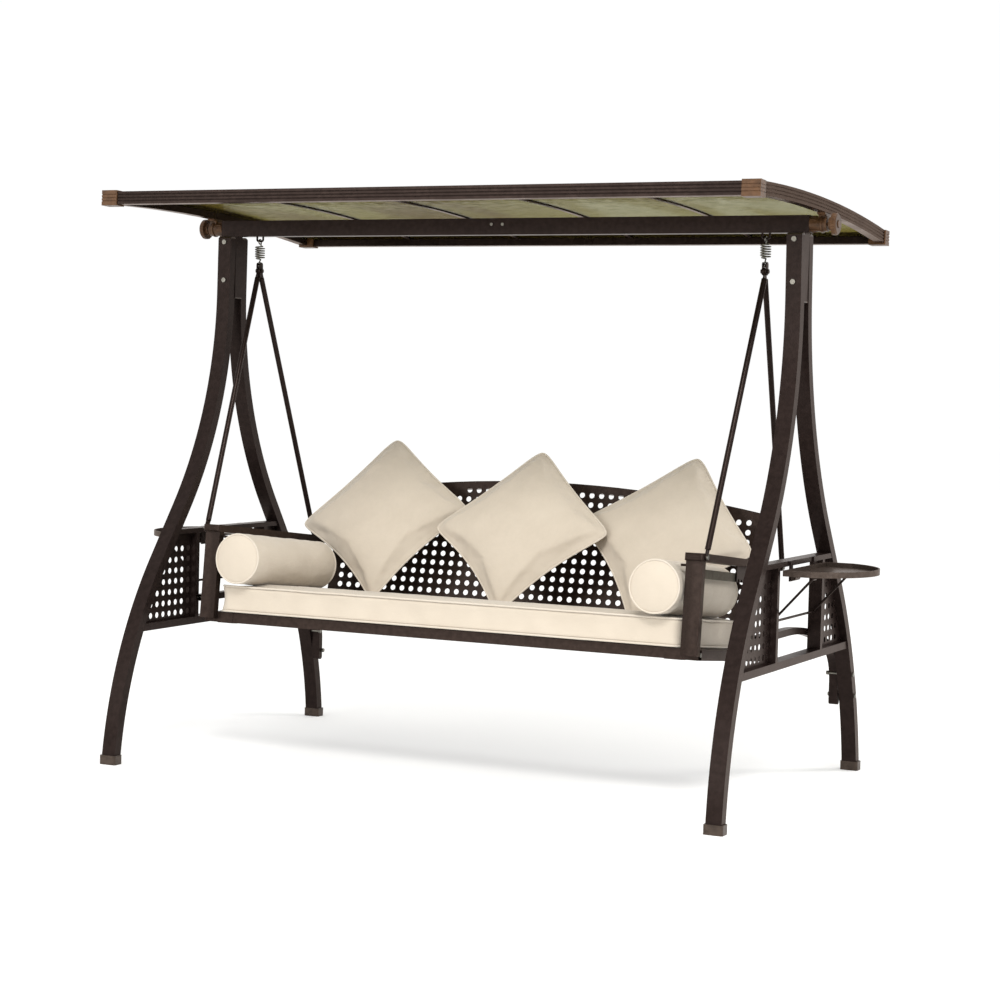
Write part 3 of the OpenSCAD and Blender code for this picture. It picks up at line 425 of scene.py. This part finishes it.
def tube(name, path, radius, material, closed=False, sides=10):
    """Round tube swept along points, without twist."""
    path = [Vector(p) for p in path]
    count = len(path)
    rings, frame_x = [], None
    for i, p in enumerate(path):
        before = path[(i - 1) % count] if closed or i else p
        after = path[(i + 1) % count] if closed or i < count - 1 else p
        along = (after - before).normalized()
        if frame_x is None:
            frame_x = along.orthogonal().normalized()
        frame_x = (frame_x - along * frame_x.dot(along)).normalized()
        frame_y = along.cross(frame_x)
        rings.append([p + (frame_x * math.cos(a) + frame_y * math.sin(a)) * radius
                      for a in (2 * math.pi * k / sides for k in range(sides))])
    if closed:
        start = min(range(sides), key=lambda s: (rings[0][s] - rings[-1][0]).length)
    points = [q for ring in rings for q in ring]
    faces = []
    for i in range(count if closed else count - 1):
        j = (i + 1) % count
        turn = start if closed and j == 0 else 0
        for k in range(sides):
            faces.append((i * sides + k, i * sides + (k + 1) % sides,
                          j * sides + (k + 1 + turn) % sides, j * sides + (k + turn) % sides))
    if not closed:
        faces += [tuple(range(sides))[::-1], tuple((count - 1) * sides + k for k in range(sides))]
    return mesh_object(name, points, faces, material)


def own_axes(node, turn):
    """Half sizes of a CAD node along its own turned axes, and the matrix that places it."""
    local = points_of(NODES[node]) @ np.array(turn.to_3x3())
    low, high = local.min(0), local.max(0)
    centre = turn @ Vector((low + high) / 2)
    return (high - low) / 2, Matrix.Translation(centre) @ turn


# ---- Soft pieces ----

def inflate(obj, pressure, frames, cap, bend=0.5):
    """Cloth simulation with inner pressure, applied; each point moves at most its cap."""
    scene = bpy.context.scene
    start = points_of(obj)
    cloth = obj.modifiers.new("cloth", "CLOTH")
    values = cloth.settings
    values.quality = 6
    values.mass = 0.25
    values.tension_stiffness = values.compression_stiffness = 15.0
    values.shear_stiffness = 6.0
    values.bending_stiffness = bend
    values.use_pressure = True
    values.uniform_pressure_force = pressure
    values.effector_weights.gravity = 0
    cloth.collision_settings.use_collision = False
    cloth.point_cache.frame_start, cloth.point_cache.frame_end = 1, frames
    for number in range(1, frames + 1):
        scene.frame_set(number)
    shape = obj.evaluated_get(bpy.context.evaluated_depsgraph_get())
    move = points_of(shape) - start
    length = np.linalg.norm(move, axis=1)
    limit = np.minimum(1, cap / np.maximum(length, 1e-9))
    obj.modifiers.remove(cloth)
    set_points(obj, start + move * limit[:, None])
    scene.frame_set(1)


def ruffle(obj, amount, size, shift):
    """Pushes points in and out by smooth noise: amount is metres, one number or one per point."""
    co = points_of(obj)
    normals = np.array([v.normal for v in obj.data.vertices])
    height = np.array([noise.fractal(Vector(p) / size + Vector((shift, 0, 0)), 0.8, 2.1, 3)
                       for p in co])
    co += normals * (height * amount)[:, None]
    set_points(obj, co)


def finish_soft(obj, matrix, node, body):
    """Places and smooths a cover, and lets it stand for its CAD node."""
    obj.matrix_world = matrix
    smoothing = obj.modifiers.new("smooth", "SUBSURF")
    smoothing.levels = smoothing.render_levels = 1
    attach(obj, body)
    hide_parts(node)


def seam_cord(name, points, radius, body, matrix):
    """Closed piping cord along a seam."""
    cord = tube(name, points, radius, PIPING_CLOTH, closed=True)
    cord.matrix_world = matrix
    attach(cord, body)


def smooth_loop(points, rounds=2):
    """Averages a closed loop of points with their neighbours."""
    loop = np.array(points)
    for _ in range(rounds):
        loop = (np.roll(loop, 1, 0) + loop * 2 + np.roll(loop, -1, 0)) / 4
    return [Vector(p) for p in loop]


def ring_keys(nu, nv):
    """Lattice places round the edge of a face, in order."""
    return ([(i, 0) for i in range(nu)] + [(nu, j) for j in range(nv)]
            + [(i, nv) for i in range(nu, 0, -1)] + [(0, j) for j in range(nv, 0, -1)])


def seat_cushion():
    """Long boxed cushion: crowned top, puffed borders, piping round the top and bottom."""
    half, matrix = own_axes("seat_cushion", SEAT_TURN)
    counts = (110, 44, 6)
    unit, faces, index = lattice_shell(counts)
    corner_r = CUSHION_CORNER_RADIUS
    # Room for the swelling, inside the CAD solid
    hx, hy, hz = half - 0.004
    co = unit * (hx, hy, hz)
    for i, (x, y, z) in enumerate(co):
        dx, dy = abs(x) - (hx - corner_r), abs(y) - (hy - corner_r)
        if dx > 0 and dy > 0:
            reach = max(dx, dy)
            length = math.hypot(dx, dy)
            co[i][0] = math.copysign(hx - corner_r + dx * reach / length, x)
            co[i][1] = math.copysign(hy - corner_r + dy * reach / length, y)
    border = np.minimum((1 - np.abs(unit[:, 0])) * hx, (1 - np.abs(unit[:, 1])) * hy)
    on_side = border < 1e-6
    underneath = unit[:, 2] < -0.99
    from_seam = np.where(on_side, (1 - np.abs(unit[:, 2])) * hz, border)
    obj = mesh_object("seat_cushion_cover", co, faces, MATERIALS["cushion_fabric"])
    cap = 0.0008 + 0.014 * np.clip(from_seam / 0.09, 0, 1)
    cap = np.where(underneath, np.minimum(cap, 0.003), cap)
    cap = np.where(on_side, 0.0008 + 0.006 * np.clip(from_seam / 0.03, 0, 1), cap)
    inflate(obj, 6.0, 16, cap)
    puckers = 0.0028 * np.exp(-from_seam / 0.03) * (from_seam > 0.002) + 0.0016
    ruffle(obj, np.where(underneath, 0.0005, puckers), 0.075, 3.0)
    co = points_of(obj)
    for name, level in (("top", counts[2]), ("bottom", 0)):
        loop = [co[index[(i, j, level)]] for i, j in ring_keys(*counts[:2])]
        seam_cord(f"seat_cushion_{name}_piping", smooth_loop(loop), CUSHION_PIPING_RADIUS,
                  "seat", matrix)
    finish_soft(obj, matrix, "seat_cushion", "seat")


def bolster(node):
    """Round bolster: stuffed body, flat pleated ends, piping round both ends."""
    half, matrix = own_axes(node, SEAT_TURN)
    counts = (16, 40, 16)
    unit, faces, index = lattice_shell(counts)
    x, y, z = unit.T
    # Room for the swelling, inside the CAD solid
    radius, length = half[0] - 0.005, half[1] - 0.004
    co = np.empty_like(unit)
    co[:, 0] = x * np.sqrt(1 - z * z / 2) * radius
    co[:, 2] = z * np.sqrt(1 - x * x / 2) * radius
    co[:, 1] = y * length
    spread_out = np.hypot(co[:, 0], co[:, 2]) / radius
    on_end = np.abs(y) > 0.999
    co[:, 1] += np.where(on_end, np.sign(y) * 0.006 * (1 - spread_out ** 2), 0)
    # The tube narrows a little towards its sewn ends
    waist = np.where(spread_out > 0.98, 1 - 0.02 * (np.abs(y) > 0.8) * (np.abs(y) - 0.8) * 5, 1)
    co[:, (0, 2)] *= waist[:, None]
    obj = mesh_object(f"{node}_cover", co, faces, MATERIALS["cushion_fabric"])
    cap = np.where(on_end, 0.0008 + 0.010 * np.clip((1 - spread_out) * 3, 0, 1),
                   0.001 + 0.006 * np.clip((1 - np.abs(y)) * 6, 0, 1))
    inflate(obj, 7.0, 14, cap)
    near_end = np.exp(-(1 - np.abs(y)) * length / 0.035)
    ruffle(obj, np.where(on_end, 0.0008, 0.0020 + 0.0045 * near_end), 0.045,
           half[0] * 10 + matrix.translation.x)
    co = points_of(obj)
    for name, end in (("front", 0), ("rear", counts[1])):
        loop = [co[index[(i, end, j)]] for i, j in ring_keys(counts[0], counts[2])]
        seam_cord(f"{node}_{name}_piping", smooth_loop(loop), PIPING_RADIUS, "seat", matrix)
    finish_soft(obj, matrix, node, "seat")


def press_flat(obj, matrix):
    """Lifts what lies under the seat cushion's top to just above it, a little bulged there."""
    half, place_of_seat = own_axes("seat_cushion", SEAT_TURN)
    to_seat = place_of_seat.inverted() @ matrix
    back = to_seat.inverted()
    top, bulge = half[2] + 0.001, 0.012
    for vertex in obj.data.vertices:
        p = to_seat @ vertex.co
        under = top + bulge - p.z
        if under > 0 and p.y < half[1]:
            p.z = top + bulge * math.exp(-under / bulge)
            vertex.co = back @ p


def pillow(node, lean, spin):
    """Square pillow on its corner: two panels sewn at the edge, blown up, with piping."""
    turn = (Matrix.Rotation(math.radians(-lean), 4, "X")
            @ Matrix.Rotation(math.radians(45 + spin), 4, "Y")
            @ Matrix.Rotation(math.radians(90), 4, "X"))
    half, matrix = own_axes(node, turn)
    unit, faces, index = lattice_shell((PILLOW_STEPS, PILLOW_STEPS, 1))
    x, y, z = unit.T
    side = half[0] * PILLOW_CUT
    up = matrix.to_3x3().inverted() @ Vector((0, 0, 1))
    pull_x = np.where(x * up.x > 0, PULL_TOP, PULL_BOTTOM)
    pull_y = np.where(y * up.y > 0, PULL_TOP, PULL_BOTTOM)
    co = np.empty_like(unit)
    ear = 1 - PILLOW_EAR * np.abs(x * y) ** 6
    co[:, 0] = side * x * ear * (1 - pull_x * (1 - y * y) * x * x)
    co[:, 1] = side * y * ear * (1 - pull_y * (1 - x * x) * y * y)
    rim = np.maximum(np.abs(x), np.abs(y)) > 0.999
    dome = ((1 - x ** 2) * (1 - y ** 2)).clip(0) ** 0.8
    co[:, 2] = np.sign(z) * np.where(rim, 0.002, 0.004 + PILLOW_CROWN * dome)
    obj = mesh_object(f"{node}_cover", co, faces, MATERIALS["cushion_fabric"])
    inflate(obj, 5.0, 12, np.where(rim, 0.005, 0.014), bend=2.0)
    to_edge = (1 - np.maximum(np.abs(x), np.abs(y))) * side
    gathers = 0.0036 * np.exp(-to_edge / 0.045) * (to_edge > 0.004)
    ruffle(obj, np.where(rim, 0, 0.0018 + gathers), 0.075, matrix.translation.x * 5)
    press_flat(obj, matrix)
    co = points_of(obj)
    loop = [(co[index[(i, j, 0)]] + co[index[(i, j, 1)]]) / 2
            for i, j in ring_keys(PILLOW_STEPS, PILLOW_STEPS)]
    seam_cord(f"{node}_piping", smooth_loop(loop, 1), PIPING_RADIUS, "backrest", matrix)
    finish_soft(obj, matrix, node, "backrest")


# ---- Springs ----

def spring(node):
    """Wound coil with a hook at each end, stretched between the hanger and the seat."""
    low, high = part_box(node)
    centre_x, wire, hook_r = (low.x + high.x) / 2, SPRING_WIRE, SPRING_HOOK_R
    coil_r = (high.x - low.x) / 2 - wire
    top_hook, low_hook = high.z - hook_r - wire, low.z + hook_r + wire
    coil_low, coil_high = low.z + SPRING_LOWER_END, high.z - SPRING_UPPER_END
    round_steps = 24
    hook = [math.radians(-70 + 320 * k / round_steps) for k in range(round_steps + 1)]
    path = []
    for a in hook[::-1]:
        a += math.pi
        path.append((centre_x, hook_r * math.sin(a), top_hook - hook_r * math.cos(a)))
    steps = SPRING_TURNS * round_steps
    for k in range(steps + 1):
        a = 2 * math.pi * k / round_steps
        ease = min(1, k / 12, (steps - k) / 12)
        r = coil_r * (0.35 + 0.65 * ease)
        path.append((centre_x + r * math.sin(a), r * math.cos(a),
                     coil_high + (coil_low - coil_high) * k / steps))
    for a in hook:
        path.append((centre_x, hook_r * math.sin(a), low_hook + hook_r * math.cos(a)))
    obj = tube(f"{node}_coil", path, wire, MATERIALS["steel"], sides=8)
    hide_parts(node)
    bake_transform(obj)


# ---- Stage: floor, lights, camera ----

def stage():
    """Pale floor and an even white surrounding."""
    floor_mat, tree, shader = new_material("stage_floor")
    shader.inputs["Base Color"].default_value = (0.78, 0.78, 0.77, 1)
    shader.inputs["Roughness"].default_value = 1.0
    shader.inputs["Specular IOR Level"].default_value = 0.0
    shader.inputs["Emission Color"].default_value = (1, 1, 1, 1)
    shader.inputs["Emission Strength"].default_value = 0.24
    half = 60.0
    points = [(-half, -half, 0), (half, -half, 0), (half, half, 0), (-half, half, 0)]
    floor = mesh_object("stage_floor", points, [(0, 1, 2, 3)], floor_mat, smooth=False)
    world = bpy.data.worlds.new("studio")
    bpy.context.scene.world = world
    world.use_nodes = True
    back = world.node_tree.nodes["Background"]
    back.inputs["Color"].default_value = (1, 1, 1, 1)
    back.inputs["Strength"].default_value = 1.01
    bpy.context.scene.view_settings.view_transform = "Standard"


def area_light(name, at, towards, size, power, tint=(1, 1, 1)):
    """Soft box aimed at a point; it isn't seen through the roof sheet."""
    light = bpy.data.lights.new(name, "AREA")
    light.shape = "RECTANGLE"
    light.size, light.size_y = size
    light.energy = power
    light.color = tint
    obj = bpy.data.objects.new(name, light)
    obj.visible_transmission = False
    obj.location = at
    obj.rotation_euler = (Vector(towards) - Vector(at)).to_track_quat("-Z", "Y").to_euler()
    bpy.context.scene.collection.objects.link(obj)


def lights():
    """Soft key from above the viewer, a fill, and two weak lights for the metal's edges."""
    middle = (0, 0, 0.8)
    area_light("key", (2.2, -4.6, 5.6), middle, (2.2, 1.6), 340, (1.0, 0.985, 0.965))
    area_light("fill", (-2.6, -6.2, 2.4), middle, (4.0, 2.5), 110, (1.0, 0.985, 0.965))
    area_light("strip", (5.6, -2.9, 1.6), (0.8, -0.4, 1.0), (0.35, 3.0), 60)
    area_light("rim", (4.5, 3.0, 3.4), middle, (1.2, 3.0), 110, (1.0, 0.98, 0.96))


def camera():
    """The photograph's view."""
    a, e, roll = (math.radians(v) for v in (CAM_AZIMUTH, CAM_ELEVATION, CAM_ROLL))
    back = Vector((math.sin(a) * math.cos(e), -math.cos(a) * math.cos(e), math.sin(e)))
    right = (-back).cross(Vector((0, 0, 1))).normalized()
    up = right.cross(-back)
    side = right * math.cos(roll) + up * math.sin(roll)
    top = up * math.cos(roll) - right * math.sin(roll)
    data = bpy.data.cameras.new("photo_view")
    data.lens, data.sensor_width, data.sensor_fit = CAM_LENS, 36.0, "HORIZONTAL"
    data.clip_end = 200
    obj = bpy.data.objects.new("photo_view", data)
    turned = Matrix((side, top, back)).transposed().to_4x4()
    obj.matrix_world = Matrix.Translation(CAM_PLACE) @ turned
    bpy.context.scene.collection.objects.link(obj)
    bpy.context.scene.camera = obj


camera()
lights()
stage()
dress_frame()
seat_cushion()
bolster("left_bolster")
bolster("right_bolster")
for pillow_node, (pillow_lean, pillow_spin) in PILLOWS.items():
    pillow(pillow_node, pillow_lean, pillow_spin)
spring("left_spring")
spring("right_spring")

bpy.context.view_layer.update()
